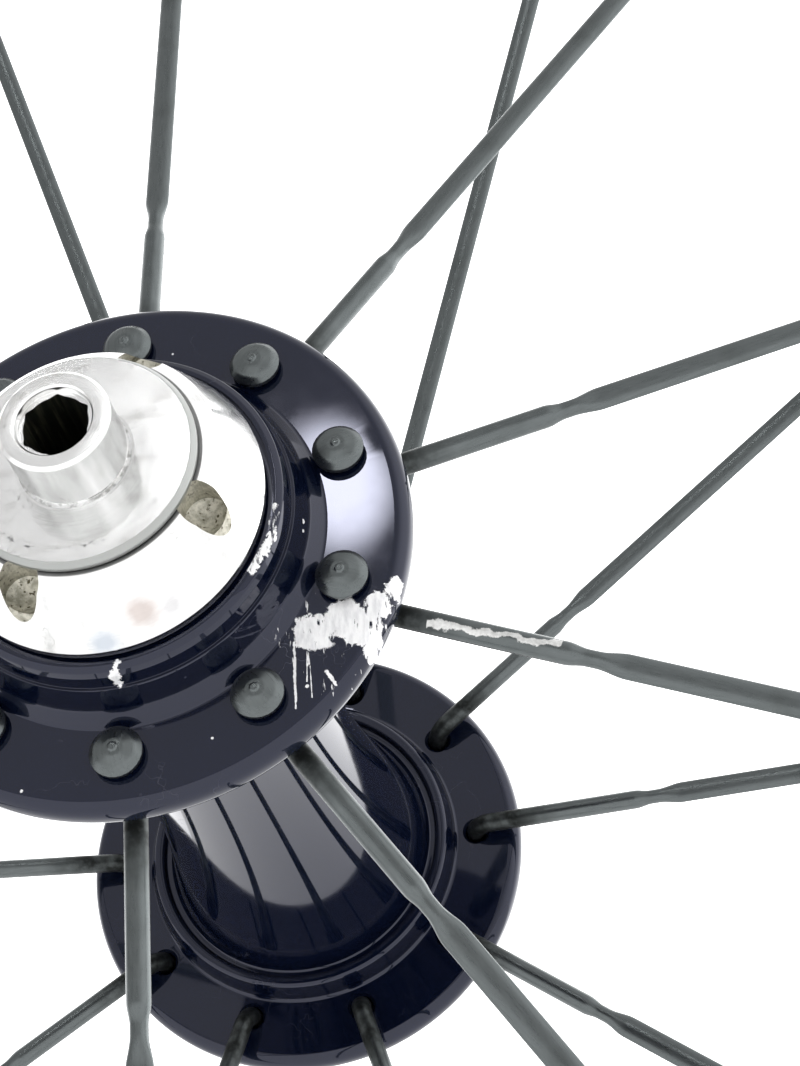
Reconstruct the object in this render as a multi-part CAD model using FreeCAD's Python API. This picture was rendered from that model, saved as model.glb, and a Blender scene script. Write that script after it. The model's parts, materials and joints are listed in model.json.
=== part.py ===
import FreeCAD, Part
import math
import os

# Front wheel hub laced with radial bladed spokes, in millimetres.
# The hub axis is Y and the origin is the middle of the hub. The near end is at -Y, and
# near spoke 0 points along +Z. Profiles are drawn for the near end as (radius, distance
# from the middle), and the far end is the near end turned half a turn about Z.

V = FreeCAD.Vector

# ---- driving dimensions ----
LOCKNUT_HALF = 50.0          # half the 100 mm fork spacing
END_HALF = 55.5              # tip of the 9 mm axle end
END_R = 4.5
FLANGE_FACE = 36.4           # outer face of a flange
FLANGE_T = 3.0
FLANGE_R = 24.2
FLANGE_RIM = 1.0             # how far the rounded rim stands out
WAIST_R = 10.6               # the shell is waisted; this is its radius in the middle
WAIST_ARC_R = 136.0
WAIST_END = 30.4             # where the waist runs into the bowl
BOWL_R = 1.1                 # concave corner between the waist and the bowl's floor
BEAD_CREST_R = 15.8          # raised bead between the bowl and the flange
BEAD_CREST = 30.85
BEAD_SIDE_R = 16.5
BEAD_SIDE = 31.3
BEAD_NECK_R = 16.9
BEAD_NECK = 32.3
BEAD_FOOT_R = 17.4
COLLAR_FOOT_R = 16.9         # outside the flange: cove, wall and rounded lip of the collar
COVE_R = 15.85
COVE = 38.1
WALL_FOOT_R = 15.3
WALL_FOOT = 39.8
WALL_STEP = 0.25
WALL_TOP_R = 14.95
WALL_TOP = 41.1
LIP_R = 14.72
LIP = 41.77
LIP_TOP_R = 14.25
LIP_TOP = 42.03
LIP_BORE_R = 13.9
SEAT_STOP_R = 10.6
SEAT_CONE = 4.0              # length of the cone from the bearing's stop to the shell's bore
SHELL_BORE_R = 8.4
SPOKES_PER_SIDE = 10
SPOKE_PCR = 19.4             # radius of the spoke hole circle
SPOKE_R = 1.0
SPOKE_TIP_R = 268.0          # how far from the axis a spoke reaches

# ---- bearing, 12 x 24 x 6 ----
BEARING_IN_R = 6.0
BEARING_OUT_R = 12.0
BEARING_W = 6.0
BEARING_INNER_SIDE = 35.5    # side that faces the middle of the hub
BALL_R = 1.5
BALL_COUNT = 11
BALL_PITCH_R = 9.0
GROOVE_R = 1.55
RACE_GAP = 0.9               # half the space between the two races
CAGE_HALF_T = 0.5
CAGE_HALF_W = 1.9
POCKET_R = 1.58
SEAL_T = 0.35
SEAL_SET_IN = 0.15
SEAL_LIP_GAP = 0.06

# ---- axle and its ends ----
SKEWER_R = 2.6               # bore for a 5 mm skewer
AXLE_THREAD_R = 5.95
AXLE_SHOULDER_R = 7.2
AXLE_CORE_HALF = 48.9
END_SHANK_R = 3.9
END_SHANK_INNER = 38.0
SHANK_GAP = 0.02
FORK_DISC_R = 9.7
FORK_DISC_TOP_R = 9.35
FORK_DISC_BACK = 49.1
BOSS_GROOVE_R = 4.3
COUNTERBORE_R = 3.05
COUNTERBORE_FLOOR = 54.7
HEX_FLATS = 5.0
HEX_FLOOR = 46.5

# ---- adjusting nut and far collar ----
NUT_BORE_R = 6.0
NUT_NOSE_R = 7.8
NUT_EDGE_R = 13.5
NUT_EDGE = 42.5
NUT_SKIRT = 41.8
NUT_SLOPE_TOP_R = 11.2
NUT_SLOPE_TOP = 48.0
NUT_TOP_R = 9.95
NUT_TOP = 49.0
PIN_HOLES = 4
PIN_HOLE_R = 1.75
PIN_HOLE_PCR = 10.7
PIN_HOLE_FLOOR = 46.2
PIN_HOLE_TIP = 45.1
PIN_HOLE_ANGLE = 25.7

# ---- spoke ----
HOLE_R = 1.2
HOLE_EDGE = 0.3
HEAD_R = 2.2
HEAD_HEIGHT = 1.85
HEAD_LIFT = 0.35             # rim of the head above the flange
HEAD_EDGE = 0.5
HEAD_CHAMFER = 0.15
NIB_R = 0.6
NIB_HEIGHT = 0.12
BEND_R = 2.2
BEND_START = 33.6
NECK_R = 0.75
BLADE_HALF_W = 1.15
BLADE_HALF_T = 0.55
TAPER_START_R = 37.2         # these four are distances from the hub axis
NECK_START_R = 38.8
NECK_END_R = 39.8
BLADE_START_R = 42.0
BLADE_END_BACK = 26.0        # these three are distances back from the spoke's tip
ROUND_START_BACK = 21.0
THREAD_BACK = 10.0
THREAD_R = 1.12              # rolled thread, a little over the wire
THREAD_CHAMFER = 0.4
DRAWN_TAPER = 0.04           # the wire thins slightly towards its thread


def arc(start, middle, end):
    return Part.Arc(start, middle, end).toShape()


def revolve_edges(edges):
    """Turn a closed outline, drawn in X (radius) and Y, about the hub axis."""
    face = Part.Face(Part.Wire(edges))
    return face.revolve(V(0, 0, 0), V(0, 1, 0), 360)


def revolve_points(points):
    corners = [V(r, y, 0) for r, y in points]
    corners.append(corners[0])
    return revolve_edges(Part.makePolygon(corners).Edges)


def ring(inner_r, outer_r, low, high):
    tube = Part.makeCylinder(outer_r, high - low, V(0, low, 0), V(0, 1, 0))
    return tube.cut(Part.makeCylinder(inner_r, high - low, V(0, low, 0), V(0, 1, 0)))


def turned(shape, angle):
    """Turn about the hub axis, from +Z towards +X."""
    copy = shape.copy()
    copy.rotate(V(0, 0, 0), V(0, 1, 0), angle)
    return copy


def to_end(shape, end):
    """Shapes are made at +Y, which is the far end; the near end is half a turn about Z."""
    copy = shape.copy()
    if end == "near":
        copy.rotate(V(0, 0, 0), V(0, 0, 1), 180)
    return copy


# ---- hub shell ----

def shell_half_edges():
    """Outline of the +Y half, from the middle out along the surface and back in the bore."""
    flange_in = FLANGE_FACE - FLANGE_T
    rim_r = FLANGE_R - FLANGE_RIM
    rim_mid = FLANGE_FACE - FLANGE_T / 2
    seat_out = BEARING_INNER_SIDE + BEARING_W
    edges = []
    here = V(WAIST_R, 0, 0)

    def line_to(r, y):
        nonlocal here
        there = V(r, y, 0)
        edges.append(Part.makeLine(here, there))
        here = there

    def arc_to(mid_r, mid_y, r, y):
        nonlocal here
        there = V(r, y, 0)
        edges.append(arc(here, V(mid_r, mid_y, 0), there))
        here = there

    def waist_r(y):
        return WAIST_R + WAIST_ARC_R - math.sqrt(WAIST_ARC_R ** 2 - y ** 2)

    # waist, the bowl it runs into, and the raised bead round the bowl
    arc_to(waist_r(WAIST_END / 2), WAIST_END / 2, waist_r(WAIST_END), WAIST_END)
    slope = math.asin(WAIST_END / WAIST_ARC_R)
    half_way = (math.pi / 2 + slope) / 2
    corner_r = here.x + BOWL_R * math.cos(slope)
    corner_y = here.y - BOWL_R * math.sin(slope)
    arc_to(corner_r - BOWL_R * math.cos(half_way), corner_y + BOWL_R * math.sin(half_way),
           corner_r, corner_y + BOWL_R)
    arc_to(BEAD_CREST_R, BEAD_CREST, BEAD_SIDE_R, BEAD_SIDE)
    arc_to(BEAD_NECK_R, BEAD_NECK, BEAD_FOOT_R, flange_in)
    # flange with its rounded rim
    line_to(rim_r, flange_in)
    arc_to(FLANGE_R, rim_mid, rim_r, FLANGE_FACE)
    # outer face, the cove, the mirror wall and its lip
    line_to(COLLAR_FOOT_R, FLANGE_FACE)
    arc_to(COVE_R, COVE, WALL_FOOT_R, WALL_FOOT)
    line_to(WALL_FOOT_R - WALL_STEP, WALL_FOOT)
    line_to(WALL_TOP_R, WALL_TOP)
    arc_to(LIP_R, LIP, LIP_TOP_R, LIP_TOP)
    line_to(LIP_BORE_R, LIP_TOP)
    # bearing seat and bore
    line_to(LIP_BORE_R, seat_out)
    line_to(BEARING_OUT_R, seat_out)
    line_to(BEARING_OUT_R, BEARING_INNER_SIDE)
    line_to(SEAT_STOP_R, BEARING_INNER_SIDE)
    line_to(SHELL_BORE_R, BEARING_INNER_SIDE - SEAT_CONE)
    line_to(SHELL_BORE_R, 0)
    line_to(WAIST_R, 0)
    return edges


def spoke_hole():
    """A hole through a flange, with its edges broken on both faces."""
    middle = V(0, 0, SPOKE_PCR)
    out = V(0, 1, 0)
    low = FLANGE_FACE - FLANGE_T
    hole = Part.makeCylinder(HOLE_R, FLANGE_T, middle + out * low, out)
    outer = Part.makeCone(HOLE_R, HOLE_R + HOLE_EDGE, HOLE_EDGE,
                          middle + out * (FLANGE_FACE - HOLE_EDGE), out)
    inner = Part.makeCone(HOLE_R + HOLE_EDGE, HOLE_R, HOLE_EDGE, middle + out * low, out)
    return hole.fuse([outer, inner])


def hub_shell():
    half = revolve_edges(shell_half_edges())
    shell = half.fuse(to_end(half, "near")).removeSplitter()
    holes = []
    for end in ("near", "far"):
        for index in range(SPOKES_PER_SIDE):
            holes.append(turned(to_end(spoke_hole(), end), spoke_angle(end, index)))
    return shell.cut(holes)


# ---- spokes ----

def spoke_angle(end, index):
    pitch = 360 / SPOKES_PER_SIDE
    stagger = pitch / 2 if end == "far" else 0
    return index * pitch + stagger


def spoke_head():
    """Domed head whose rim stands just off the flange, with a small nib on top."""
    rim = FLANGE_FACE + HEAD_LIFT
    edge = rim + HEAD_EDGE
    top = FLANGE_FACE + HEAD_HEIGHT
    dome_base_r = HEAD_R - HEAD_CHAMFER
    rise = top - edge
    dome_r = (dome_base_r ** 2 + rise ** 2) / (2 * rise)
    half_turn = math.asin(dome_base_r / dome_r) / 2
    crown = V(dome_r * math.sin(half_turn), top - dome_r + dome_r * math.cos(half_turn), 0)
    points = [
        V(0, top, 0), V(0, FLANGE_FACE, 0), V(SPOKE_R, FLANGE_FACE, 0), V(HEAD_R, rim, 0),
        V(HEAD_R, edge - HEAD_CHAMFER, 0), V(dome_base_r, edge, 0),
    ]
    edges = [Part.makeLine(a, b) for a, b in zip(points, points[1:])]
    edges.append(arc(points[-1], crown, points[0]))
    nib = Part.makeSphere(NIB_R, V(0, top - NIB_R + NIB_HEIGHT, 0))
    head = revolve_edges(edges).fuse(nib)
    head.translate(V(0, 0, SPOKE_PCR))
    return head


def round_wire(place, along, radius):
    return Part.Wire(Part.makeCircle(radius, place, along))


def blade_wire(place, along):
    """Flattened outline across the spoke; its wide side lies along X."""
    thin = along.cross(V(1, 0, 0))
    curve = Part.Ellipse(place + V(1, 0, 0) * BLADE_HALF_W, place + thin * BLADE_HALF_T, place)
    return Part.Wire(curve.toShape())


def spoke():
    """One spoke at +Z of the +Y flange: head, elbow, neck, blade and threaded end."""
    bend_c = V(0, BEND_START, SPOKE_PCR + BEND_R)
    reach = SPOKE_TIP_R - bend_c.z
    span = math.hypot(reach, bend_c.y)
    lean = math.atan2(bend_c.y, reach) - math.asin(BEND_R / span)
    along = V(0, -math.sin(lean), math.cos(lean))
    bend_end = bend_c - V(0, math.cos(lean), math.sin(lean)) * BEND_R
    length = (SPOKE_TIP_R - bend_end.z) / math.cos(lean)

    shank = Part.makeCylinder(SPOKE_R, FLANGE_FACE - BEND_START, V(0, BEND_START, SPOKE_PCR), V(0, 1, 0))
    disc = Part.Face(Part.Wire(Part.makeCircle(SPOKE_R, V(0, BEND_START, SPOKE_PCR), V(0, 1, 0))))
    elbow = disc.revolve(bend_c, V(1, 0, 0), -(90 - math.degrees(lean)))
    solids = [shank, elbow]

    def point(distance):
        return bend_end + along * distance

    def at(axis_distance):
        return (axis_distance - bend_end.z) / math.cos(lean)

    def straight(start, stop, radius):
        solids.append(Part.makeCylinder(radius, stop - start, point(start), along))

    def taper(start, stop, first_r, last_r):
        solids.append(Part.makeCone(first_r, last_r, stop - start, point(start), along))

    neck_start, neck_end = at(NECK_START_R), at(NECK_END_R)
    blade_start, blade_end = at(BLADE_START_R), length - BLADE_END_BACK
    round_start, thread_start = length - ROUND_START_BACK, length - THREAD_BACK
    straight(0, at(TAPER_START_R), SPOKE_R)
    taper(at(TAPER_START_R), neck_start, SPOKE_R, NECK_R)
    straight(neck_start, neck_end, NECK_R)
    solids.append(Part.makeLoft([round_wire(point(neck_end), along, NECK_R),
                                 blade_wire(point(blade_start), along)], True, True))
    blade_face = Part.Face(blade_wire(point(blade_start), along))
    solids.append(blade_face.extrude(along * (blade_end - blade_start)))
    solids.append(Part.makeLoft([blade_wire(point(blade_end), along),
                                 round_wire(point(round_start), along, SPOKE_R)], True, True))
    taper(round_start, thread_start, SPOKE_R, SPOKE_R - DRAWN_TAPER)
    straight(thread_start, length - THREAD_CHAMFER, THREAD_R)
    taper(length - THREAD_CHAMFER, length, THREAD_R, THREAD_R - THREAD_CHAMFER)
    return spoke_head().fuse(solids)


# ---- bearings ----

def race_groove():
    return Part.makeTorus(BALL_PITCH_R, GROOVE_R, V(0, BEARING_INNER_SIDE + BEARING_W / 2, 0), V(0, 1, 0))


def outer_race():
    low = BEARING_INNER_SIDE
    body = ring(BALL_PITCH_R + RACE_GAP, BEARING_OUT_R, low, low + BEARING_W)
    return body.cut(race_groove())


def inner_race():
    low = BEARING_INNER_SIDE
    body = ring(BEARING_IN_R, BALL_PITCH_R - RACE_GAP, low, low + BEARING_W)
    return body.cut(race_groove())


def ball_places():
    middle = BEARING_INNER_SIDE + BEARING_W / 2
    for index in range(BALL_COUNT):
        turn = 2 * math.pi * index / BALL_COUNT
        yield V(BALL_PITCH_R * math.sin(turn), middle, BALL_PITCH_R * math.cos(turn))


def balls():
    return Part.makeCompound([Part.makeSphere(BALL_R, place) for place in ball_places()])


def cage():
    middle = BEARING_INNER_SIDE + BEARING_W / 2
    body = ring(BALL_PITCH_R - CAGE_HALF_T, BALL_PITCH_R + CAGE_HALF_T,
                middle - CAGE_HALF_W, middle + CAGE_HALF_W)
    pockets = []
    for place in ball_places():
        outward = V(place.x, 0, place.z).normalize()
        pockets.append(Part.makeCylinder(POCKET_R, 2 * BALL_R, place - outward * BALL_R, outward))
    return body.cut(pockets)


def seal(low):
    return ring(BALL_PITCH_R - RACE_GAP + SEAL_LIP_GAP, BALL_PITCH_R + RACE_GAP, low, low + SEAL_T)


def inboard_seal():
    return seal(BEARING_INNER_SIDE + SEAL_SET_IN)


def outboard_seal():
    return seal(BEARING_INNER_SIDE + BEARING_W - SEAL_SET_IN - SEAL_T)


# ---- axle ----

def axle_core():
    """Tube with a shoulder between the bearings, bored from both ends for the axle ends."""
    shank_bore = END_SHANK_R + SHANK_GAP
    points = [
        (SKEWER_R, 0), (AXLE_SHOULDER_R, 0), (AXLE_SHOULDER_R, BEARING_INNER_SIDE),
        (BEARING_IN_R, BEARING_INNER_SIDE), (BEARING_IN_R, BEARING_INNER_SIDE + BEARING_W),
        (AXLE_THREAD_R, BEARING_INNER_SIDE + BEARING_W), (AXLE_THREAD_R, AXLE_CORE_HALF - 0.3),
        (AXLE_THREAD_R - 0.3, AXLE_CORE_HALF), (shank_bore, AXLE_CORE_HALF),
        (shank_bore, END_SHANK_INNER), (SKEWER_R, END_SHANK_INNER),
    ]
    half = revolve_points(points)
    return half.fuse(to_end(half, "near")).removeSplitter()


def axle_end():
    """Boss that sits in the fork, the disc that bears on it, and a screwed shank."""
    chamfer = 0.35
    points = [
        (SKEWER_R, END_SHANK_INNER), (END_SHANK_R, END_SHANK_INNER),
        (END_SHANK_R, FORK_DISC_BACK), (FORK_DISC_R, FORK_DISC_BACK),
        (FORK_DISC_R, LOCKNUT_HALF - 0.45), (FORK_DISC_TOP_R, LOCKNUT_HALF),
        (END_R + 0.35, LOCKNUT_HALF), (BOSS_GROOVE_R, LOCKNUT_HALF + 0.12),
        (BOSS_GROOVE_R, LOCKNUT_HALF + 0.35), (END_R, LOCKNUT_HALF + 0.5),
        (END_R, END_HALF - chamfer), (END_R - chamfer, END_HALF),
        (COUNTERBORE_R + 0.2, END_HALF), (COUNTERBORE_R, END_HALF - 0.2),
        (COUNTERBORE_R, COUNTERBORE_FLOOR), (SKEWER_R, COUNTERBORE_FLOOR),
    ]
    body = revolve_points(points)
    corner = HEX_FLATS / math.sqrt(3)
    hexagon = []
    for index in range(7):
        turn = math.radians(60 * index)
        hexagon.append(V(corner * math.sin(turn), HEX_FLOOR, corner * math.cos(turn)))
    socket = Part.Face(Part.makePolygon(hexagon)).extrude(V(0, COUNTERBORE_FLOOR - HEX_FLOOR, 0))
    return body.cut(socket)


# ---- adjusting nut and far collar ----

def bearing_cover():
    """Sloped cover that bears on the inner race and runs inside the shell's lip."""
    race_side = BEARING_INNER_SIDE + BEARING_W
    points = [
        (NUT_BORE_R, race_side), (NUT_NOSE_R, race_side), (NUT_NOSE_R, NUT_SKIRT + 0.9),
        (NUT_EDGE_R - 1.3, NUT_SKIRT + 0.9), (NUT_EDGE_R - 1.3, NUT_SKIRT),
        (NUT_EDGE_R - 0.1, NUT_SKIRT), (NUT_EDGE_R - 0.1, NUT_EDGE - 0.15), (NUT_EDGE_R, NUT_EDGE),
        (NUT_EDGE_R, NUT_EDGE + 0.2), (NUT_SLOPE_TOP_R, NUT_SLOPE_TOP),
        (NUT_TOP_R, NUT_TOP), (NUT_BORE_R, NUT_TOP),
    ]
    return revolve_points(points)


def pin_hole():
    """Blind drilled hole for a pin spanner, with the drill's cone at its floor."""
    place = V(0, PIN_HOLE_FLOOR, PIN_HOLE_PCR)
    hole = Part.makeCylinder(PIN_HOLE_R, NUT_TOP - PIN_HOLE_FLOOR, place, V(0, 1, 0))
    tip = Part.makeCone(0, PIN_HOLE_R, PIN_HOLE_FLOOR - PIN_HOLE_TIP,
                        V(0, PIN_HOLE_TIP, PIN_HOLE_PCR), V(0, 1, 0))
    return hole.fuse(tip)


def adjusting_nut():
    holes = []
    for index in range(PIN_HOLES):
        holes.append(turned(to_end(pin_hole(), "near"), PIN_HOLE_ANGLE + index * 360 / PIN_HOLES))
    return to_end(bearing_cover(), "near").cut(holes)


# ---- write every piece ----

def main():
    os.makedirs("parts", exist_ok=True)
    pieces = {
        "hub_shell": hub_shell(),
        "axle_core": axle_core(),
        "adjusting_nut": adjusting_nut(),
        "far_collar": bearing_cover(),
    }
    per_end = {
        "axle_end": axle_end(),
        "bearing_outer_race": outer_race(),
        "bearing_inner_race": inner_race(),
        "bearing_cage": cage(),
        "bearing_balls": balls(),
        "bearing_inboard_seal": inboard_seal(),
        "bearing_outboard_seal": outboard_seal(),
    }
    one_spoke = spoke()
    for end in ("near", "far"):
        for name, shape in per_end.items():
            pieces[end + "_" + name] = to_end(shape, end)
        for index in range(SPOKES_PER_SIDE):
            name = "%s_spoke_%02d" % (end, index)
            pieces[name] = turned(to_end(one_spoke, end), spoke_angle(end, index))
    for name, shape in pieces.items():
        shape.exportStep("parts/" + name + ".step")
        print(name, "valid" if shape.isValid() else "NOT VALID", len(shape.Solids), "solids",
              round(shape.Volume, 2), "mm3")


main()
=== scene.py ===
import json
import math

import bmesh
import bpy
from mathutils import Matrix, Quaternion, Vector

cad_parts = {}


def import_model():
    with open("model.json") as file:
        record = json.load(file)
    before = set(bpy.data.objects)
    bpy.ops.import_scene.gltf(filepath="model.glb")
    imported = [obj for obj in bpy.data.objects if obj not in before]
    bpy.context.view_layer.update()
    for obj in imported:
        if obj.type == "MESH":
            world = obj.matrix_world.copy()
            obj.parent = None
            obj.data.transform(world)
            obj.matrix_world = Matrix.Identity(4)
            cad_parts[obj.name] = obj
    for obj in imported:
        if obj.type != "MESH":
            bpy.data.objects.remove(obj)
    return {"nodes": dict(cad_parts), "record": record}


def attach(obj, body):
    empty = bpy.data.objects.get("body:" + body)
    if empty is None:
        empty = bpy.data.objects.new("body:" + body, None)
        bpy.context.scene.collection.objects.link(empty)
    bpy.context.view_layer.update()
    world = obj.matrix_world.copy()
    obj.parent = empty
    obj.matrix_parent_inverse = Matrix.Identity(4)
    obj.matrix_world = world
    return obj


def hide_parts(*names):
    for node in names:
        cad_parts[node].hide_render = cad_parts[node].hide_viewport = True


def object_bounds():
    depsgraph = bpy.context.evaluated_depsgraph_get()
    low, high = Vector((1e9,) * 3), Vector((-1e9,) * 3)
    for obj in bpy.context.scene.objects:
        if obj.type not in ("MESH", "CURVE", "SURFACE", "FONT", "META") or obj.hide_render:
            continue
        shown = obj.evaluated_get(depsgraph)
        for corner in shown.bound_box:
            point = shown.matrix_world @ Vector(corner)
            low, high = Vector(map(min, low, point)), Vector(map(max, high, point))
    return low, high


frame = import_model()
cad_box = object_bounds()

# Front wheel hub laced with radial bladed spokes. Profiles are in millimetres, as
# (radius, distance from the hub's middle, corner radius), and meshes are in metres.
MM = 0.001
LATHE_SEGMENTS = 256
SPOKES_PER_SIDE = 10
SPOKE_PITCH = 360 / SPOKES_PER_SIDE

# ---------------------------------------------------------------- measures, in mm
FLANGE_FACE = 36.4
FLANGE_T = 3.0
WAIST_R = 10.6
WAIST_ARC_R = 136.0
WAIST_END = 30.0
SPOKE_PCR = 19.4
HOLE_R = 1.2
HOLE_EDGE = 0.3
HEX_FLATS = 5.0
HEX_TOP = 54.7
HEX_FLOOR = 46.5
PIN_HOLE_R = 1.75
PIN_HOLE_PCR = 10.7
PIN_HOLE_FLOOR = 46.2
PIN_HOLE_TIP = 45.1
PIN_HOLE_ANGLES = [25.7 + 90 * index for index in range(4)]
SPOKE_R = 1.0
BEND_R = 2.2
BEND_START = 33.6
SPOKE_TIP_R = 268.0
NECK_R = 0.75
BLADE_HALF_W = 1.15
BLADE_HALF_T = 0.55
THREAD_R = 1.12
THREAD_PITCH = 0.45
THREAD_DEPTH = 0.14
THREAD_LENGTH = 9.6

CAMERA_LENS = 72.68
CAMERA_PLACE = (46.17, -185.6, -90.84)
CAMERA_AIM = (17.65, 0, 19.15)
CAMERA_ROLL = -2.74


# ---------------------------------------------------------------- profiles and lathe

def rounded(corners, steps=7):
    """Replace each corner of a polyline by an arc of its own radius."""
    points = []
    last = len(corners) - 1
    for index, (r, y, radius) in enumerate(corners):
        here = Vector((r, y))
        if radius <= 0 or index in (0, last):
            points.append(here)
            continue
        back = Vector(corners[index - 1][:2]) - here
        ahead = Vector(corners[index + 1][:2]) - here
        half = back.angle(ahead) / 2
        reach = min(radius / math.tan(half), 0.49 * back.length, 0.49 * ahead.length)
        radius = reach * math.tan(half)
        middle = (back.normalized() + ahead.normalized()).normalized()
        centre = here + middle * (radius / math.sin(half))
        start = here + back.normalized() * reach - centre
        stop = here + ahead.normalized() * reach - centre
        turn = start.angle_signed(stop)
        for step in range(steps + 1):
            share = -turn * step / steps
            points.append(centre + Vector((
                start.x * math.cos(share) - start.y * math.sin(share),
                start.x * math.sin(share) + start.y * math.cos(share))))
    return points


def lathe_mesh(profile, segments=LATHE_SEGMENTS):
    """Closed outline turned about Y. A point at radius 0 becomes a pole."""
    mesh = bmesh.new()
    rings = []
    for r, y in profile:
        if r < 1e-6:
            rings.append([mesh.verts.new((0, y * MM, 0))] * segments)
            continue
        ring = []
        for index in range(segments):
            turn = 2 * math.pi * index / segments
            ring.append(mesh.verts.new((r * math.sin(turn) * MM, y * MM, r * math.cos(turn) * MM)))
        rings.append(ring)
    for first, second in zip(rings, rings[1:] + rings[:1]):
        for index in range(segments):
            after = (index + 1) % segments
            corners = []
            for vert in (first[index], first[after], second[after], second[index]):
                if vert not in corners:
                    corners.append(vert)
            if len(corners) > 2:
                mesh.faces.new(corners)
    bmesh.ops.recalc_face_normals(mesh, faces=mesh.faces)
    return mesh


def new_piece(name, mesh, body, material, replaced=()):
    data = bpy.data.meshes.new(name)
    mesh.to_mesh(data)
    mesh.free()
    piece = bpy.data.objects.new(name, data)
    bpy.context.scene.collection.objects.link(piece)
    data.materials.append(material)
    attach(piece, body)
    if replaced:
        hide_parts(*replaced)
    return piece


def smooth(piece, sharp_deg=35):
    piece.data.shade_smooth()
    piece.data.set_sharp_from_angle(angle=math.radians(sharp_deg))
    weigh = piece.modifiers.new("weigh", "WEIGHTED_NORMAL")
    weigh.keep_sharp = True
    weigh.weight = 100


def cut(piece, cutters):
    """Cut one mesh, made of all the cutters, out of a piece."""
    data = bpy.data.meshes.new("cutter")
    cutters.to_mesh(data)
    cutters.free()
    tool = bpy.data.objects.new("cutter", data)
    bpy.context.scene.collection.objects.link(tool)
    modifier = piece.modifiers.new("cut", "BOOLEAN")
    modifier.operation = "DIFFERENCE"
    modifier.solver = "EXACT"
    modifier.object = tool
    graph = bpy.context.evaluated_depsgraph_get()
    result = bpy.data.meshes.new_from_object(piece.evaluated_get(graph))
    piece.modifiers.clear()
    piece.data = result
    bpy.data.objects.remove(tool)


def joined(meshes):
    whole = bmesh.new()
    for mesh in meshes:
        data = bpy.data.meshes.new("part")
        mesh.to_mesh(data)
        mesh.free()
        whole.from_mesh(data)
        bpy.data.meshes.remove(data)
    return whole


def moved(mesh, matrix):
    bmesh.ops.transform(mesh, matrix=matrix, verts=mesh.verts)
    return mesh


def about_hub(angle):
    """Turn from +Z towards +X."""
    return Matrix.Rotation(math.radians(angle), 4, "Y")


def end_turn(end):
    """Shapes are made at +Y; the near end is half a turn about Z."""
    return Matrix.Rotation(math.pi, 4, "Z") if end == "near" else Matrix.Identity(4)


def spoke_angle(end, index):
    return index * SPOKE_PITCH + (SPOKE_PITCH / 2 if end == "far" else 0)


# ---------------------------------------------------------------- materials

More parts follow.
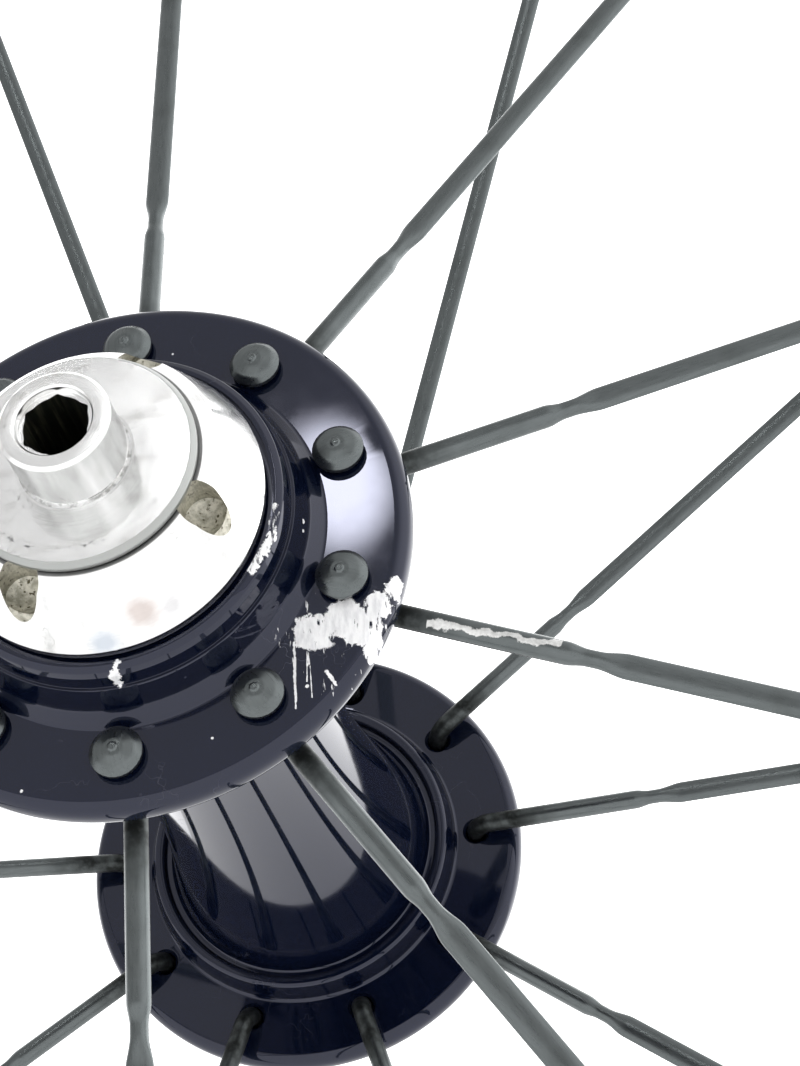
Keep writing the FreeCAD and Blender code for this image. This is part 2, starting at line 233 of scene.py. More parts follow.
class Shader:
    """A material's node tree, with short ways to add nodes."""

    def __init__(self, name, **sockets):
        self.material = bpy.data.materials.new(name)
        self.material.use_nodes = True
        self.tree = self.material.node_tree
        self.tree.nodes.clear()
        self.out = self.tree.nodes.new("ShaderNodeOutputMaterial")
        self.surface = self.add("BsdfPrincipled", **sockets)
        self.tree.links.new(self.surface.outputs["BSDF"], self.out.inputs["Surface"])
        self.coords = self.add("TexCoord").outputs["Object"]

    def add(self, kind, settings=None, **sockets):
        node = self.tree.nodes.new("ShaderNode" + kind)
        for key, value in (settings or {}).items():
            setattr(node, key, value)
        for key, value in sockets.items():
            self.feed(node.inputs[self.socket_key(node, key)], value)
        return node

    @staticmethod
    def socket_key(node, key):
        if key[0] == "i" and key[1:].isdigit():
            return int(key[1:])
        names = {socket.name.replace(" ", ""): socket.name for socket in node.inputs}
        return names[key]

    def feed(self, socket, value):
        if isinstance(value, bpy.types.NodeSocket):
            self.tree.links.new(value, socket)
        elif hasattr(value, "__len__") and len(value) == 3 and socket.type == "RGBA":
            socket.default_value = (*value, 1)
        else:
            socket.default_value = value

    def math(self, operation, first, second=0.0, clamp=False):
        settings = {"operation": operation, "use_clamp": clamp}
        return self.add("Math", settings, i0=first, i1=second).outputs[0]

    def noise(self, scale, detail=4, roughness=0.55, vector=None):
        place = vector or self.coords
        node = self.add("TexNoise", Vector=place, Scale=scale, Detail=detail, Roughness=roughness)
        return node.outputs["Fac"]

    def remap(self, value, low, high, to_low=0.0, to_high=1.0):
        node = self.add("MapRange", {"clamp": True}, i0=value, i1=low, i2=high, i3=to_low, i4=to_high)
        return node.outputs[0]

    def mix(self, share, first, second):
        node = self.add("Mix", {"data_type": "RGBA"}, i0=share, i6=first, i7=second)
        return node.outputs[2]

    def blend(self, share, first, second):
        node = self.add("Mix", {"data_type": "FLOAT"}, i0=share, i2=first, i3=second)
        return node.outputs[0]

    def scaled(self, x, y, z):
        node = self.add("Mapping", Vector=self.coords, Scale=(x, y, z))
        return node.outputs[0]

    def radius(self):
        """Distance from the hub axis, in metres."""
        split = self.add("SeparateXYZ", Vector=self.coords)
        squares = self.math("ADD", self.math("MULTIPLY", split.outputs["X"], split.outputs["X"]),
                            self.math("MULTIPLY", split.outputs["Z"], split.outputs["Z"]))
        return self.math("SQRT", squares)

    def part(self, axis):
        """One coordinate, in metres."""
        return self.add("SeparateXYZ", Vector=self.coords).outputs[axis]

    def height(self):
        return self.part("Y")

    def window(self, value, low_mm, high_mm, soft_mm=0.05):
        """1 where the value lies between the two limits."""
        rise = self.remap(value, (low_mm - soft_mm) * MM, low_mm * MM)
        fall = self.remap(value, high_mm * MM, (high_mm + soft_mm) * MM, 1.0, 0.0)
        return self.math("MULTIPLY", rise, fall)

    def wander(self, grain, detail, size):
        """Noise either side of 0, about as large as the size, in metres."""
        return self.math("MULTIPLY", self.math("SUBTRACT", self.noise(grain, detail, 0.7), 0.5), size * 4)

    def hairlines(self, scale, roughness, low, high):
        """Thin wandering lines, 1 on a line, where the noise crosses its middle value."""
        off_middle = self.math("ABSOLUTE", self.math("SUBTRACT", self.noise(scale, 3, roughness), 0.5))
        return self.remap(off_middle, low, high, 1.0, 0.0)

    def patch(self, place, reach, ragged=0.35, grain=900, inner=0.92):
        """Ragged blot, 1 inside and 0 outside, about a place given in metres."""
        gap = self.add("VectorMath", {"operation": "DISTANCE"}, i0=self.coords, i1=place).outputs["Value"]
        torn = self.math("ADD", gap, self.wander(grain, 6, reach * ragged))
        return self.remap(torn, reach * inner, reach, 1.0, 0.0)

    def stroke(self, start, stop, half_width_mm, ragged=0.9, grain=1500):
        """Ragged line, 1 inside and 0 outside, between two places given in metres."""
        run = stop - start
        from_start = self.add("VectorMath", {"operation": "SUBTRACT"}, i0=self.coords, i1=start).outputs[0]
        unit = run / run.length_squared
        share = self.add("VectorMath", {"operation": "DOT_PRODUCT"}, i0=from_start, i1=unit).outputs["Value"]
        share = self.math("MULTIPLY", share, 1.0, clamp=True)
        nearest = self.add("VectorMath", {"operation": "SCALE"}, i0=run, Scale=share).outputs[0]
        gap = self.add("VectorMath", {"operation": "DISTANCE"}, i0=from_start, i1=nearest).outputs["Value"]
        width = half_width_mm * MM
        torn = self.math("ADD", gap, self.wander(grain, 5, width * ragged))
        return self.remap(torn, width * 0.8, width, 1.0, 0.0)

    def most(self, masks):
        whole = masks[0]
        for mask in masks[1:]:
            whole = self.math("MAXIMUM", whole, mask)
        return whole

    def bump(self, height, strength=0.3, distance=0.0001, normal=None):
        node = self.add("Bump", Strength=strength, Distance=distance, Height=height)
        if normal is not None:
            self.feed(node.inputs["Normal"], normal)
        return node.outputs["Normal"]

    def set(self, **sockets):
        for key, value in sockets.items():
            self.feed(self.surface.inputs[self.socket_key(self.surface, key)], value)


def polar(radius_mm, angle, y_mm):
    turn = math.radians(angle)
    return Vector((radius_mm * math.sin(turn), y_mm, radius_mm * math.cos(turn))) * MM


def gloss_black():
    """Blue-black gloss coat on alloy, chipped to bare metal on the near flange."""
    s = Shader("gloss_black_coat", IOR=1.6, SpecularTint=(0.80, 0.82, 1.0))
    cloud = s.noise(160, 4)
    tone = s.mix(cloud, (0.0015, 0.003, 0.010), (0.003, 0.005, 0.015))
    face = -FLANGE_FACE
    # the big scuff: three blots that run together and reach the rim, torn by a streaky grain
    scuff = s.most([
        s.patch(polar(19.2, 123.5, face), 1.75 * MM, 0.32, 800),
        s.patch(polar(20.9, 117.5, face), 1.75 * MM, 0.34, 900),
        s.patch(polar(22.6, 118.0, face), 1.7 * MM, 0.36, 900),
        s.patch(polar(23.0, 112.5, face), 1.2 * MM, 0.5, 1100),
        s.patch(polar(23.9, 108.0, face + 0.3), 1.0 * MM, 0.55, 1200),
        s.patch(polar(24.2, 121.0, face + 0.9), 1.2 * MM, 0.4, 900),
    ])
    torn = s.remap(s.noise(1.0, 5, 0.65, s.scaled(1500, 500, 420)), 0.36, 0.41)
    scuff = s.math("MULTIPLY", scuff, torn)
    near_scuff = s.patch(polar(21.2, 122, face), 5.2 * MM, 0.2, 500)
    trail = s.remap(s.noise(1.0, 4, 0.6, s.scaled(2600, 500, 420)), 0.64, 0.67)
    scratches = s.most([
        s.stroke(polar(18.2, 128.3, face), polar(22.3, 140.0, face), 0.11),
        s.stroke(polar(19.6, 128.6, face), polar(21.3, 134.2, face), 0.05),
        s.stroke(polar(20.6, 131.0, face), polar(22.6, 136.2, face), 0.04),
        s.stroke(polar(22.0, 130.0, face), polar(23.8, 131.5, face), 0.16),
    ])
    dots = [
        s.patch(polar(21.6, 135.0, face), 0.16 * MM, 0.3, 1500),
        s.patch(polar(20.3, 158.0, face), 0.12 * MM, 0.3, 1500),
        s.patch(polar(15.75, 95.0, -38.4), 0.24 * MM, 0.5, 1500),
        s.patch(polar(15.85, 98.0, -38.3), 0.16 * MM, 0.5, 1500),
        s.patch(polar(22.9, 200.0, face), 0.13 * MM, 0.4, 1500),
        s.patch(polar(18.9, 12.0, face), 0.10 * MM, 0.4, 1500),
    ]
    dab = [
        s.stroke(polar(14.2, 174.0, -42.0), polar(14.9, 176.4, -41.4), 0.30),
        s.stroke(polar(14.9, 176.4, -41.4), polar(15.1, 176.0, -40.2), 0.42),
    ]
    lip_scrape = s.most([
        s.stroke(polar(14.3, 97.0, -42.0), polar(14.6, 108.0, -41.9), 0.34),
        s.stroke(polar(14.6, 108.0, -41.9), polar(14.2, 121.0, -42.0), 0.42),
    ])
    lip_grain = s.remap(s.noise(1.0, 5, 0.7, s.scaled(1500, 700, 500)), 0.42, 0.5)
    bare = s.most([scuff, s.math("MULTIPLY", near_scuff, trail), scratches, *dots, *dab,
                   s.math("MULTIPLY", lip_scrape, lip_grain)])
    metal = s.mix(s.remap(s.noise(1.0, 5, 0.6, s.scaled(2400, 900, 700)), 0.35, 0.6),
                  (0.78, 0.78, 0.79), (1.0, 1.0, 1.0))
    # hairline scratches and a thin dulled film, only here and there
    hair = s.math("MULTIPLY", s.hairlines(210, 0.5, 0.0012, 0.0026), s.remap(s.noise(90, 2), 0.52, 0.62))
    tone = s.mix(s.math("MULTIPLY", hair, 0.12), tone, (0.2, 0.2, 0.24))
    s.set(BaseColor=s.mix(bare, tone, metal), Metallic=s.math("MULTIPLY", bare, 0.35))
    rough = s.remap(s.noise(420, 5), 0.3, 0.75, 0.03, 0.065)
    s.set(Roughness=s.blend(bare, s.math("ADD", rough, s.math("MULTIPLY", hair, 0.12)), 0.5))
    s.set(Normal=s.bump(bare, 0.25, -0.00004))
    return s.material


def polished(name):
    """Polished alloy with turning marks, fine scratches, painted reflections low on the nut's slope and
    painted shade in its steps, partly speckled.

    Gives the shader, then its colour, roughness, turning-mark normal and speckle noise."""
    s = Shader(name, Metallic=1.0, IOR=1.5)
    r = s.radius()
    out = s.math("ABSOLUTE", s.height())
    ring_place = s.math("MULTIPLY", r, 9000.0)
    ring_noise = s.add("TexNoise", {"noise_dimensions": "1D"}, W=ring_place, Scale=1.0, Detail=3)
    ring_mark = ring_noise.outputs["Fac"]
    cloud = s.noise(260, 6, 0.65)
    scratch = s.math("MULTIPLY", s.hairlines(240, 0.55, 0.002, 0.0045), s.remap(s.noise(130, 2), 0.5, 0.62))
    smear = s.remap(s.noise(1.0, 5, 0.6, s.scaled(180, 260, 420)), 0.5, 0.72)
    tone = s.mix(s.remap(ring_mark, 0.3, 0.7), (0.86, 0.86, 0.86), (0.96, 0.96, 0.955))
    tone = s.mix(s.math("MULTIPLY", smear, 0.6), tone, (0.56, 0.55, 0.53))
    tone = s.mix(s.math("MULTIPLY", scratch, 0.5), tone, (0.42, 0.41, 0.40))
    # painted reflections: three faint blue, pink and grey patches low on the nut's slope stand in for the
    # room reflected in it
    for place, reach, colour in ((polar(13.2, 176, -43.5), 1.6, (0.50, 0.55, 0.62)),
                                 (polar(12.6, 160, -45.0), 2.0, (0.58, 0.50, 0.47)),
                                 (polar(12.8, 150, -44.5), 1.2, (0.66, 0.65, 0.66))):
        soft = s.patch(place, reach * MM, 0.25, 420, 0.35)
        tone = s.mix(s.math("MULTIPLY", soft, 0.8), tone, colour)
    # painted shade: a dark line under the washer's edge, and speckled shade where the stub rises from it.
    # Dark ticks in a thin ring near the washer's rim, on its lower side only.
    speck = s.remap(s.noise(1500, 5, 0.65), 0.38, 0.58)
    under_edge_shade = s.window(out, 48.98, 49.14)
    root_shade = s.math("MULTIPLY", s.window(out, 49.99, 50.5), s.window(r, 4.1, 4.6))
    tick = s.remap(s.noise(1.0, 4, 0.6, s.scaled(2200, 300, 2200)), 0.56, 0.62)
    track = s.math("MULTIPLY", s.math("MULTIPLY", s.window(r, 8.0, 8.35), s.window(out, 49.8, 50.2)), tick)
    below = s.remap(s.part("Z"), -4.0 * MM, -6.0 * MM)
    track = s.math("MULTIPLY", track, below)
    tone = s.mix(s.math("MULTIPLY", under_edge_shade, 0.8), tone, (0.08, 0.08, 0.08))
    tone = s.mix(s.math("MULTIPLY", root_shade, s.remap(speck, 0.3, 1.0, 0.0, 0.75)), tone, (0.30, 0.30, 0.29))
    tone = s.mix(s.math("MULTIPLY", track, 0.8), tone, (0.16, 0.16, 0.16))
    # painted shade: the washer's side wall and chamfer darker grey
    wall_shade = s.math("MULTIPLY", s.window(r, 9.3, 9.8), s.window(out, 49.15, 49.98))
    tone = s.mix(wall_shade, tone, (0.40, 0.41, 0.40))
    # painted shade: streaky darker grey down the stub's side
    side_shade = s.math("MULTIPLY", s.window(r, 4.35, 4.6), s.window(out, 50.6, 55.2))
    streak = s.remap(s.noise(1.0, 3, 0.5, s.scaled(420, 60, 420)), 0.35, 0.65, 0.1, 0.75)
    tone = s.mix(s.math("MULTIPLY", side_shade, streak), tone, (0.40, 0.41, 0.40))
    dull = s.most([under_edge_shade, root_shade, wall_shade])
    rough = s.math("ADD", s.remap(cloud, 0.3, 0.7, 0.12, 0.26), s.math("MULTIPLY", dull, 0.2))
    turned = s.bump(ring_mark, 0.05, 0.00002)
    return s, tone, rough, turned, speck


def plain_cover_alloy():
    s, tone, rough, turned, speck = polished("polished_alloy")
    s.set(BaseColor=tone, Roughness=rough, Normal=s.bump(speck, 0.02, 0.00004, turned))
    return s.material


def pierced_cover_alloy():
    """The adjusting nut: inside its four pin holes, painted shade in a brownish grime colour, with darker
    spots.
    """
    s, tone, rough, turned, speck = polished("polished_alloy_pierced")
    flat = s.scaled(1, 0, 1)
    holes = []
    for angle in PIN_HOLE_ANGLES:
        centre = polar(PIN_HOLE_PCR, angle, 0)
        gap = s.add("VectorMath", {"operation": "DISTANCE"}, i0=flat, i1=centre).outputs["Value"]
        holes.append(s.remap(gap, (PIN_HOLE_R - 0.01) * MM, (PIN_HOLE_R + 0.03) * MM, 1.0, 0.0))
    inside = s.most(holes)
    # painted shade mixed with grime colour inside the pin holes
    hollow_shade_and_grime = s.mix(speck, (0.34, 0.33, 0.27), (0.62, 0.60, 0.52))
    hollow_shade_and_grime = s.mix(s.remap(s.noise(2600, 4), 0.58, 0.66), hollow_shade_and_grime, (0.10, 0.09, 0.06))
    s.set(BaseColor=s.mix(inside, tone, hollow_shade_and_grime), Roughness=s.blend(inside, rough, 0.5))
    s.set(Normal=s.bump(s.noise(2600, 4), s.remap(inside, 0.0, 1.0, 0.02, 0.4), 0.00004, turned))
    return s.material


def axle_end_alloy():
    """Polished outside; down the hex socket, painted shade near black, streaked like grime."""
    s, tone, rough, turned, _ = polished("polished_axle_end")
    out = s.math("ABSOLUTE", s.height())
    inside = s.math("MULTIPLY", s.remap(s.radius(), 2.94 * MM, 2.96 * MM, 1.0, 0.0),
                    s.remap(out, 54.62 * MM, 54.68 * MM, 1.0, 0.0))
    streak = s.remap(s.noise(1.0, 5, 0.65, s.scaled(2600, 160, 2600)), 0.5, 0.75)
    # painted shade: the socket's walls near black, with grime streaks
    hollow_shade_and_grime = s.mix(streak, (0.004, 0.005, 0.003), (0.055, 0.055, 0.035))
    s.set(BaseColor=s.mix(inside, tone, hollow_shade_and_grime), Roughness=s.blend(inside, rough, 0.5))
    s.set(Metallic=s.remap(inside, 0.0, 1.0, 1.0, 0.3))
    s.set(Normal=s.bump(s.noise(3000, 3), s.remap(inside, 0.0, 1.0, 0.03, 0.3), 0.00002, turned))
    return s.material


def spoke_steel(name, scraped=False):
    """Dark satin stainless, drawn along the spoke, with painted shade, mottled like grime, round the elbow.
    """
    s = Shader(name, Metallic=1.0, IOR=1.5)
    drawn = s.noise(1.0, 4, 0.6, s.scaled(4200, 4200, 40))
    cloud = s.noise(300, 2, 0.5)
    tone = s.mix(drawn, (0.105, 0.118, 0.120), (0.165, 0.180, 0.182))
    tone = s.mix(s.math("MULTIPLY", s.remap(cloud, 0.52, 0.75), 0.35), tone, (0.07, 0.078, 0.076))
    # painted shade round the elbow, inside the flange, mottled like grime
    root_shade = s.math("MULTIPLY", s.remap(s.part("Z"), 24.0 * MM, 29.0 * MM, 1.0, 0.0),
                  s.remap(s.height(), 33.6 * MM, 33.0 * MM, 0.0, 1.0))
    elbow_shade = s.math("MULTIPLY", root_shade, s.remap(s.noise(700, 4), 0.25, 0.6, 0.3, 0.9))
    tone = s.mix(elbow_shade, tone, (0.012, 0.013, 0.012))
    # painted shadow under the head's edge
    gap = s.math("MULTIPLY", s.window(s.height(), FLANGE_FACE - 0.3, FLANGE_FACE + 0.32), 0.85)
    tone = s.mix(gap, tone, (0.01, 0.01, 0.01))
    rough = s.math("ADD", s.remap(drawn, 0.2, 0.8, 0.24, 0.34), s.math("MULTIPLY", elbow_shade, 0.25))
    relief = drawn
    if scraped:
        drift = s.math("MULTIPLY", s.math("SUBTRACT", s.noise(330, 3), 0.5), 2.2 * MM)
        along = s.remap(s.part("Z"), 26.0 * MM, 37.0 * MM, -0.45 * MM, 0.35 * MM)
        offset = s.math("ABSOLUTE", s.math("SUBTRACT", s.math("SUBTRACT", s.part("X"), along), drift))
        ragged = s.math("MULTIPLY", s.noise(1900, 4, 0.7), 0.55 * MM)
        band = s.remap(s.math("ADD", offset, ragged), 0.50 * MM, 0.58 * MM, 1.0, 0.0)
        band = s.math("MULTIPLY", band, s.window(s.part("Z"), 25.8, 36.8))
        tone = s.mix(band, tone, s.mix(s.noise(2600, 4), (0.45, 0.45, 0.44), (1.0, 1.0, 0.99)))
        rough = s.blend(band, rough, 0.5)
        relief = s.math("ADD", drawn, s.math("MULTIPLY", band, s.noise(2600, 4)))
    s.set(BaseColor=tone, Roughness=rough, Normal=s.bump(relief, 0.08, 0.00003))
    return s.material


def plain_metal(name, dark, light, rough_low, rough_high, grain=900):
    """Ground metal for the pieces inside the hub."""
    s = Shader(name, Metallic=1.0, IOR=1.5)
    marks = s.noise(1.0, 4, 0.6, s.scaled(grain, grain * 6, grain))
    s.set(BaseColor=s.mix(marks, dark, light))
    s.set(Roughness=s.remap(marks, 0.25, 0.75, rough_low, rough_high))
    s.set(Normal=s.bump(marks, 0.08, 0.00003))
    return s.material


def moulded(name, dark, light, rough_low, rough_high):
    """Moulded nylon or rubber."""
    s = Shader(name, IOR=1.5)
    grain = s.noise(2400, 4, 0.6)
    s.set(BaseColor=s.mix(s.noise(500, 4), dark, light))
    s.set(Roughness=s.remap(grain, 0.3, 0.7, rough_low, rough_high))
    s.set(Normal=s.bump(grain, 0.15, 0.00003))
    return s.material


# ---------------------------------------------------------------- hub shell

def shell_profile():
    flange_in = FLANGE_FACE - FLANGE_T
    waist = []
    for step in range(25):
        y = WAIST_END * step / 24
        waist.append((WAIST_R + WAIST_ARC_R - math.sqrt(WAIST_ARC_R ** 2 - y ** 2), y, 0))
    half = waist + [
        (14.35, 31.7, 1.0), (15.15, 31.7, 0.15), (15.35, 30.95, 0.35), (16.35, 30.85, 0.5),
        (16.9, 32.5, 0.8), (17.1, flange_in, 0.5), (24.2, flange_in, 1.35), (24.2, FLANGE_FACE, 1.35),
        (17.1, FLANGE_FACE, 0.5), (16.0, 37.5, 1.2), (15.35, 39.7, 0.5), (15.3, 39.85, 0.05),
        (15.05, 39.85, 0.05), (14.95, 41.2, 0.2), (14.74, 41.8, 0.25), (14.25, 42.04, 0.2),
        (13.9, 42.0, 0.05), (13.9, 41.5, 0.05), (12.0, 41.5, 0.1), (12.0, 35.5, 0.1),
        (10.6, 35.5, 0), (8.4, 31.5, 0), (8.4, 0.0, 0),
    ]
    upper = rounded(half)
    lower = [Vector((p.x, -p.y)) for p in reversed(upper)]
    return upper[:-1] + lower[:-1]


def hole_cutter():
    """Tool for one spoke hole at +Z of the +Y flange, with both edges broken."""
    low = FLANGE_FACE - FLANGE_T
    wide = HOLE_R + HOLE_EDGE + 0.4
    outline = [(0, low - 0.4), (wide, low - 0.4), (HOLE_R, low + HOLE_EDGE),
               (HOLE_R, FLANGE_FACE - HOLE_EDGE), (wide, FLANGE_FACE + 0.4), (0, FLANGE_FACE + 0.4)]
    return moved(lathe_mesh(outline, 40), Matrix.Translation((0, 0, SPOKE_PCR * MM)))


def hub_shell(material):
    piece = new_piece("shell_body", lathe_mesh(shell_profile(), 320), "hub",
                      material, ["hub_shell"])
    tools = []
    for end in ("near", "far"):
        for index in range(SPOKES_PER_SIDE):
            tools.append(moved(hole_cutter(), about_hub(spoke_angle(end, index)) @ end_turn(end)))
    cut(piece, joined(tools))
    smooth(piece)
    return piece


# ---------------------------------------------------------------- axle ends, nut and collar

def axle_end(end, material):
    profile = rounded([
        (2.6, 38.0, 0), (3.9, 38.0, 0.1), (3.9, 49.1, 0), (9.7, 49.1, 0.08), (9.7, 49.55, 0.12),
        (9.35, 50.0, 0.12), (4.85, 50.0, 0.1), (4.3, 50.12, 0.1), (4.3, 50.35, 0.1), (4.5, 50.55, 0.1),
        (4.5, 55.2, 0.12), (4.2, 55.5, 0.12), (3.22, 55.5, 0.08), (3.05, 55.3, 0.08), (3.05, 54.7, 0.05),
        (2.6, 54.7, 0),
    ])
    piece = new_piece(end + "_end", moved(lathe_mesh(profile, 192), end_turn(end)), "axle",
                      material, [end + "_axle_end"])
    hexagon = bmesh.new()
    corner = HEX_FLATS / math.sqrt(3)
    corners = []
    for index in range(6):
        turn = math.radians(60 * index)
        corners.append(hexagon.verts.new((corner * math.sin(turn) * MM, HEX_FLOOR * MM,
                                          corner * math.cos(turn) * MM)))
    face = hexagon.faces.new(corners)
    top = bmesh.ops.extrude_face_region(hexagon, geom=[face])["geom"]
    rise = [item for item in top if isinstance(item, bmesh.types.BMVert)]
    bmesh.ops.translate(hexagon, verts=rise, vec=(0, (HEX_TOP + 0.3 - HEX_FLOOR) * MM, 0))
    bmesh.ops.recalc_face_normals(hexagon, faces=hexagon.faces)
    edges = [edge for edge in hexagon.edges if abs(edge.verts[0].co.y - edge.verts[1].co.y) > MM]
    bmesh.ops.bevel(hexagon, geom=edges, offset=0.12 * MM, segments=3, affect="EDGES", profile=0.5)
    cut(piece, moved(hexagon, end_turn(end)))
    smooth(piece)
    return piece


def cover_profile():
    return rounded([
        (6.0, 41.5, 0), (7.8, 41.5, 0.1), (7.8, 42.7, 0), (12.2, 42.7, 0), (12.2, 41.8, 0.08),
        (13.4, 41.8, 0.08), (13.4, 42.35, 0.05), (13.5, 42.45, 0.06), (13.5, 42.7, 0.12),
        (11.2, 48.0, 0.35), (9.95, 49.0, 0.15), (6.0, 49.0, 0),
    ])


def pin_cutter():
    outline = [(0, PIN_HOLE_TIP), (PIN_HOLE_R, PIN_HOLE_FLOOR), (PIN_HOLE_R, 50.0), (0, 50.0)]
    return moved(lathe_mesh(outline, 48), Matrix.Translation((0, 0, PIN_HOLE_PCR * MM)))


def adjusting_nut(material):
    cover = moved(lathe_mesh(cover_profile()), end_turn("near"))
    piece = new_piece("preload_cover", cover, "preload_nut", material, ["adjusting_nut"])
    tools = []
    for angle in PIN_HOLE_ANGLES:
        tools.append(moved(pin_cutter(), about_hub(angle) @ end_turn("near")))
    cut(piece, joined(tools))
    smooth(piece)
    return piece


def far_collar(material):
    piece = new_piece("plain_cover", lathe_mesh(cover_profile()), "axle",
                      material, ["far_collar"])
    smooth(piece)
    return piece


# ---------------------------------------------------------------- spokes

def spoke_line():
    """Where the elbow ends, the direction of the straight part and its length, in mm."""
    bend_c = Vector((0, BEND_START, SPOKE_PCR + BEND_R))
    reach = SPOKE_TIP_R - bend_c.z
    lean = math.atan2(bend_c.y, reach) - math.asin(BEND_R / math.hypot(reach, bend_c.y))
    along = Vector((0, -math.sin(lean), math.cos(lean)))
    start = bend_c - Vector((0, math.cos(lean), math.sin(lean))) * BEND_R
    return bend_c, lean, along, start, (SPOKE_TIP_R - start.z) / math.cos(lean)


def spoke_sections():
    """Rings down the spoke: place, direction, half width and half thickness, in mm."""
    bend_c, lean, along, start, length = spoke_line()
    rings = []
    for y in (FLANGE_FACE, BEND_START + 0.9, BEND_START):
        rings.append((Vector((0, y, SPOKE_PCR)), Vector((0, -1, 0)), SPOKE_R, SPOKE_R))
    bend_steps = 14
    whole_turn = math.pi / 2 - lean
    for step in range(1, bend_steps):
        turn = whole_turn * step / bend_steps
        place = bend_c - Vector((0, math.sin(turn), math.cos(turn))) * BEND_R
        rings.append((place, Vector((0, -math.cos(turn), math.sin(turn))), SPOKE_R, SPOKE_R))

    def at(axis_distance):
        return (axis_distance - start.z) / math.cos(lean)

    def ease(low, high, size_a, size_b, steps=7):
        for step in range(steps + 1):
            share = step / steps
            soft = share * share * (3 - 2 * share)
            place = start + along * (low + (high - low) * share)
            sizes = [a + (b - a) * soft for a, b in zip(size_a, size_b)]
            rings.append((place, along, *sizes))

    wire, neck, blade = (SPOKE_R, SPOKE_R), (NECK_R, NECK_R), (BLADE_HALF_W, BLADE_HALF_T)
    rings.append((start, along, *wire))
    rings.append((start + along * (at(30.0)), along, *wire))
    ease(at(37.2), at(38.9), wire, neck)
    ease(at(39.7), at(42.3), neck, blade, 10)
    blade_end = length - 26
    for share in (0.25, 0.5, 0.75):
        place = start + along * (at(42.3) + share * (blade_end - at(42.3)))
        rings.append((place, along, *blade))
    ease(blade_end, length - 21, blade, wire)
    thread_start = length - 10
    rings.append((start + along * (thread_start - 0.6), along, SPOKE_R - 0.04, SPOKE_R - 0.04))
    turns = int(THREAD_LENGTH / THREAD_PITCH)
    for turn in range(turns):
        base = thread_start + turn * THREAD_PITCH
        for share, radius in ((0.0, THREAD_R - THREAD_DEPTH), (0.42, THREAD_R), (0.58, THREAD_R)):
            rings.append((start + along * (base + share * THREAD_PITCH), along, radius, radius))
    rings.append((start + along * (length - 0.35), along, THREAD_R - THREAD_DEPTH, THREAD_R - THREAD_DEPTH))
    rings.append((start + along * length, along, THREAD_R - 0.42, THREAD_R - 0.42))
    return rings


def spoke_mesh():
    segments = 28
    mesh = bmesh.new()
    loops = []
    for place, along, half_w, half_t in spoke_sections():
        wide = Vector((1, 0, 0))
        thin = along.cross(wide)
        loop = []
        for index in range(segments):
            turn = 2 * math.pi * index / segments
            offset = wide * (half_w * math.cos(turn)) + thin * (half_t * math.sin(turn))
            loop.append(mesh.verts.new((place + offset) * MM))
        loops.append(loop)
    for first, second in zip(loops, loops[1:]):
        for index in range(segments):
            after = (index + 1) % segments
            mesh.faces.new((first[index], first[after], second[after], second[index]))
    mesh.faces.new(loops[-1])
    # the head covers the other end, so its rings go on to the underside of the head
    head = rounded([
        (SPOKE_R, FLANGE_FACE, 0), (2.12, FLANGE_FACE + 0.3, 0.1), (2.22, FLANGE_FACE + 0.8, 0.2),
        (1.72, FLANGE_FACE + 1.35, 0.9), (0.75, FLANGE_FACE + 1.74, 0.9), (0.42, FLANGE_FACE + 1.78, 0.1),
        (0.3, FLANGE_FACE + 1.9, 0.12), (0.0, FLANGE_FACE + 1.92, 0),
    ], 6)
    loops = [loops[0]]
    for r, y in head[1:-1]:
        loop = []
        for index in range(segments):
            turn = 2 * math.pi * index / segments
            # same start and sense as the first ring, whose thin side is cross(-Y, X) = +Z
            loop.append(mesh.verts.new(Vector((r * math.cos(turn), y, SPOKE_PCR + r * math.sin(turn))) * MM))
        loops.append(loop)
    for first, second in zip(loops, loops[1:]):
        for index in range(segments):
            after = (index + 1) % segments
            mesh.faces.new((first[index], second[index], second[after], first[after]))
    pole = mesh.verts.new(Vector((0, head[-1].y, SPOKE_PCR)) * MM)
    for index in range(segments):
        mesh.faces.new((loops[-1][index], pole, loops[-1][(index + 1) % segments]))
    bmesh.ops.recalc_face_normals(mesh, faces=mesh.faces)
    return mesh


def spokes(material, scraped):
    """Near spoke 3 carries a paint scrape."""
    for end in ("near", "far"):
        for index in range(SPOKES_PER_SIDE):
            label = "%s_spoke_%02d" % (end, index)
            piece = new_piece(label + "_wire", spoke_mesh(), "hub",
                              scraped if label == "near_spoke_03" else material, [label])
            placed = about_hub(spoke_angle(end, index)) @ end_turn(end)
            piece.matrix_basis = placed
            smooth(piece, 50)


# ---------------------------------------------------------------- inner pieces kept from the frame

def finish_inner_pieces():
    looks = {
        "bearing_steel": plain_metal("bearing_steel", (0.5, 0.5, 0.52), (0.75, 0.75, 0.77), 0.12, 0.3),
        "axle_alloy": plain_metal("axle_alloy", (0.45, 0.45, 0.46), (0.7, 0.7, 0.71), 0.25, 0.45),
        "cage_nylon": moulded("cage_nylon", (0.5, 0.46, 0.34), (0.66, 0.62, 0.48), 0.4, 0.6),
        "seal_rubber": moulded("seal_rubber", (0.012, 0.012, 0.012), (0.03, 0.03, 0.03), 0.5, 0.75),
    }
    for part in frame["record"]["subparts"]:
        if part["material_slot"] in looks:
            node = frame["nodes"][part["node"]]
            node.data.materials.clear()
            node.data.materials.append(looks[part["material_slot"]])


# ---------------------------------------------------------------- stage, light and camera

def stage():
    """Pale floor well under the spokes."""
    mesh = bmesh.new()
    bmesh.ops.create_grid(mesh, x_segments=1, y_segments=1, size=4.0)
    data = bpy.data.meshes.new("floor")
    mesh.to_mesh(data)
    mesh.free()
    floor = bpy.data.objects.new("floor", data)
    bpy.context.scene.collection.objects.link(floor)
    floor.location = (0, 0, cad_box[0][2] - 0.03)
    s = Shader("floor_pale", BaseColor=(0.9, 0.9, 0.9), Roughness=0.8)
    data.materials.append(s.material)


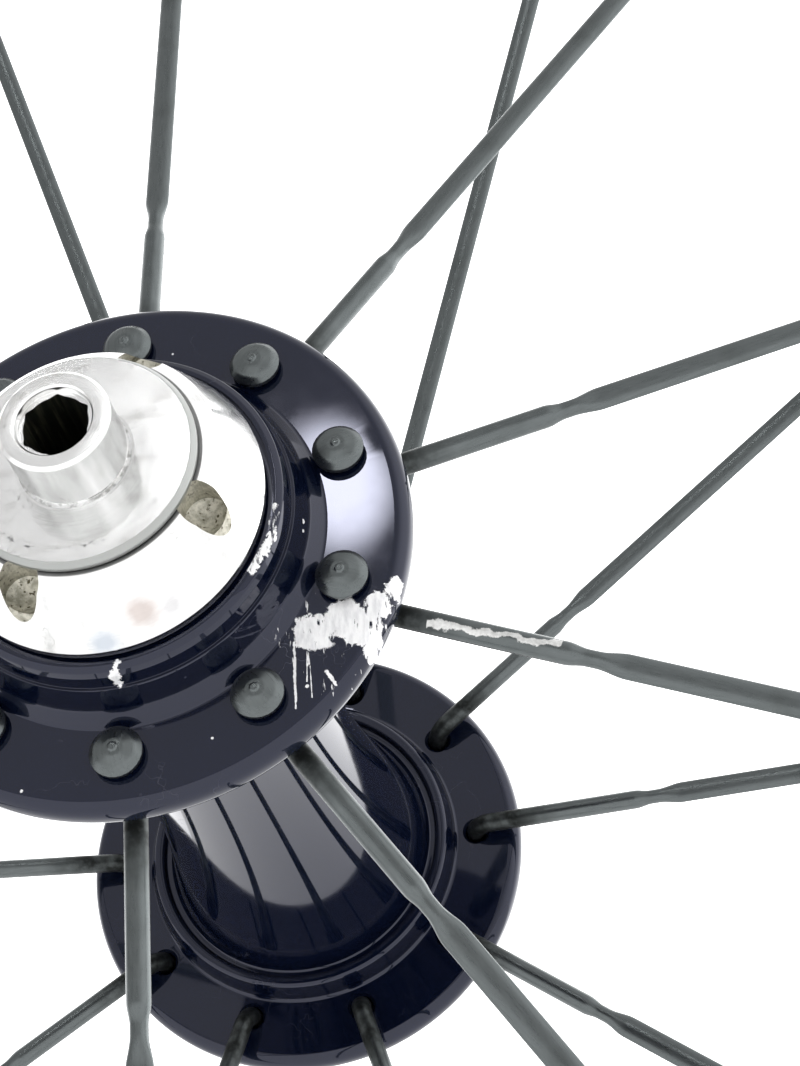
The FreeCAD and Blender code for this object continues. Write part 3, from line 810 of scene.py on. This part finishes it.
def world():
    """White surroundings: bright behind the far end, softer in front, one small soft window."""
    land = bpy.data.worlds.new("studio")
    land.use_nodes = True
    bpy.context.scene.world = land
    tree = land.node_tree
    tree.nodes.clear()
    out = tree.nodes.new("ShaderNodeOutputWorld")
    back = tree.nodes.new("ShaderNodeBackground")
    coords = tree.nodes.new("ShaderNodeTexCoord")
    tree.links.new(back.outputs[0], out.inputs[0])

    def facing(direction, low, high, amount):
        dot = tree.nodes.new("ShaderNodeVectorMath")
        dot.operation = "DOT_PRODUCT"
        dot.inputs[1].default_value = Vector(direction).normalized()
        tree.links.new(coords.outputs["Generated"], dot.inputs[0])
        ramp = tree.nodes.new("ShaderNodeMapRange")
        ramp.interpolation_type = "SMOOTHSTEP"
        tree.links.new(dot.outputs["Value"], ramp.inputs[0])
        ramp.inputs[1].default_value = low
        ramp.inputs[2].default_value = high
        ramp.inputs[3].default_value = 0
        ramp.inputs[4].default_value = amount
        return ramp.outputs[0]

    lights = [
        facing((0, 1, 0), -0.1, 0.7, 2.4),
        facing((-0.152, -0.837, 0.526), math.cos(math.radians(2.3)), math.cos(math.radians(0.7)), 24.0),
        facing((0.8, -0.1, 0.6), 0.5, 0.95, 0.7),
        facing((1, -0.2, -0.2), 0.2, 0.9, 0.5),
    ]
    total = lights[0]
    for light in lights[1:]:
        add = tree.nodes.new("ShaderNodeMath")
        add.operation = "ADD"
        tree.links.new(total, add.inputs[0])
        tree.links.new(light, add.inputs[1])
        total = add.outputs[0]
    base = tree.nodes.new("ShaderNodeMath")
    base.operation = "ADD"
    base.inputs[1].default_value = 0.85
    tree.links.new(total, base.inputs[0])
    tree.links.new(base.outputs[0], back.inputs["Strength"])


def camera():
    lens = bpy.data.cameras.new("camera")
    lens.sensor_fit = "AUTO"
    lens.sensor_width = 36
    lens.lens = CAMERA_LENS
    lens.clip_start = 0.01
    lens.dof.use_dof = False
    eye = bpy.data.objects.new("camera", lens)
    bpy.context.scene.collection.objects.link(eye)
    place = Vector(CAMERA_PLACE) * MM
    aim = Vector(CAMERA_AIM) * MM
    roll = math.radians(CAMERA_ROLL)
    eye.location = place
    eye.rotation_mode = "QUATERNION"
    eye.rotation_quaternion = (aim - place).to_track_quat("-Z", "Y") @ Quaternion((0, 0, 1), roll)
    bpy.context.scene.camera = eye


# ---------------------------------------------------------------- build

end_alloy = axle_end_alloy()
hub_shell(gloss_black())
adjusting_nut(pierced_cover_alloy())
far_collar(plain_cover_alloy())
axle_end("near", end_alloy)
axle_end("far", end_alloy)
spokes(spoke_steel("spoke_steel"), spoke_steel("spoke_steel_scraped", True))
finish_inner_pieces()
stage()
world()
camera()
bpy.context.scene.view_settings.view_transform = "Standard"

bpy.context.view_layer.update()
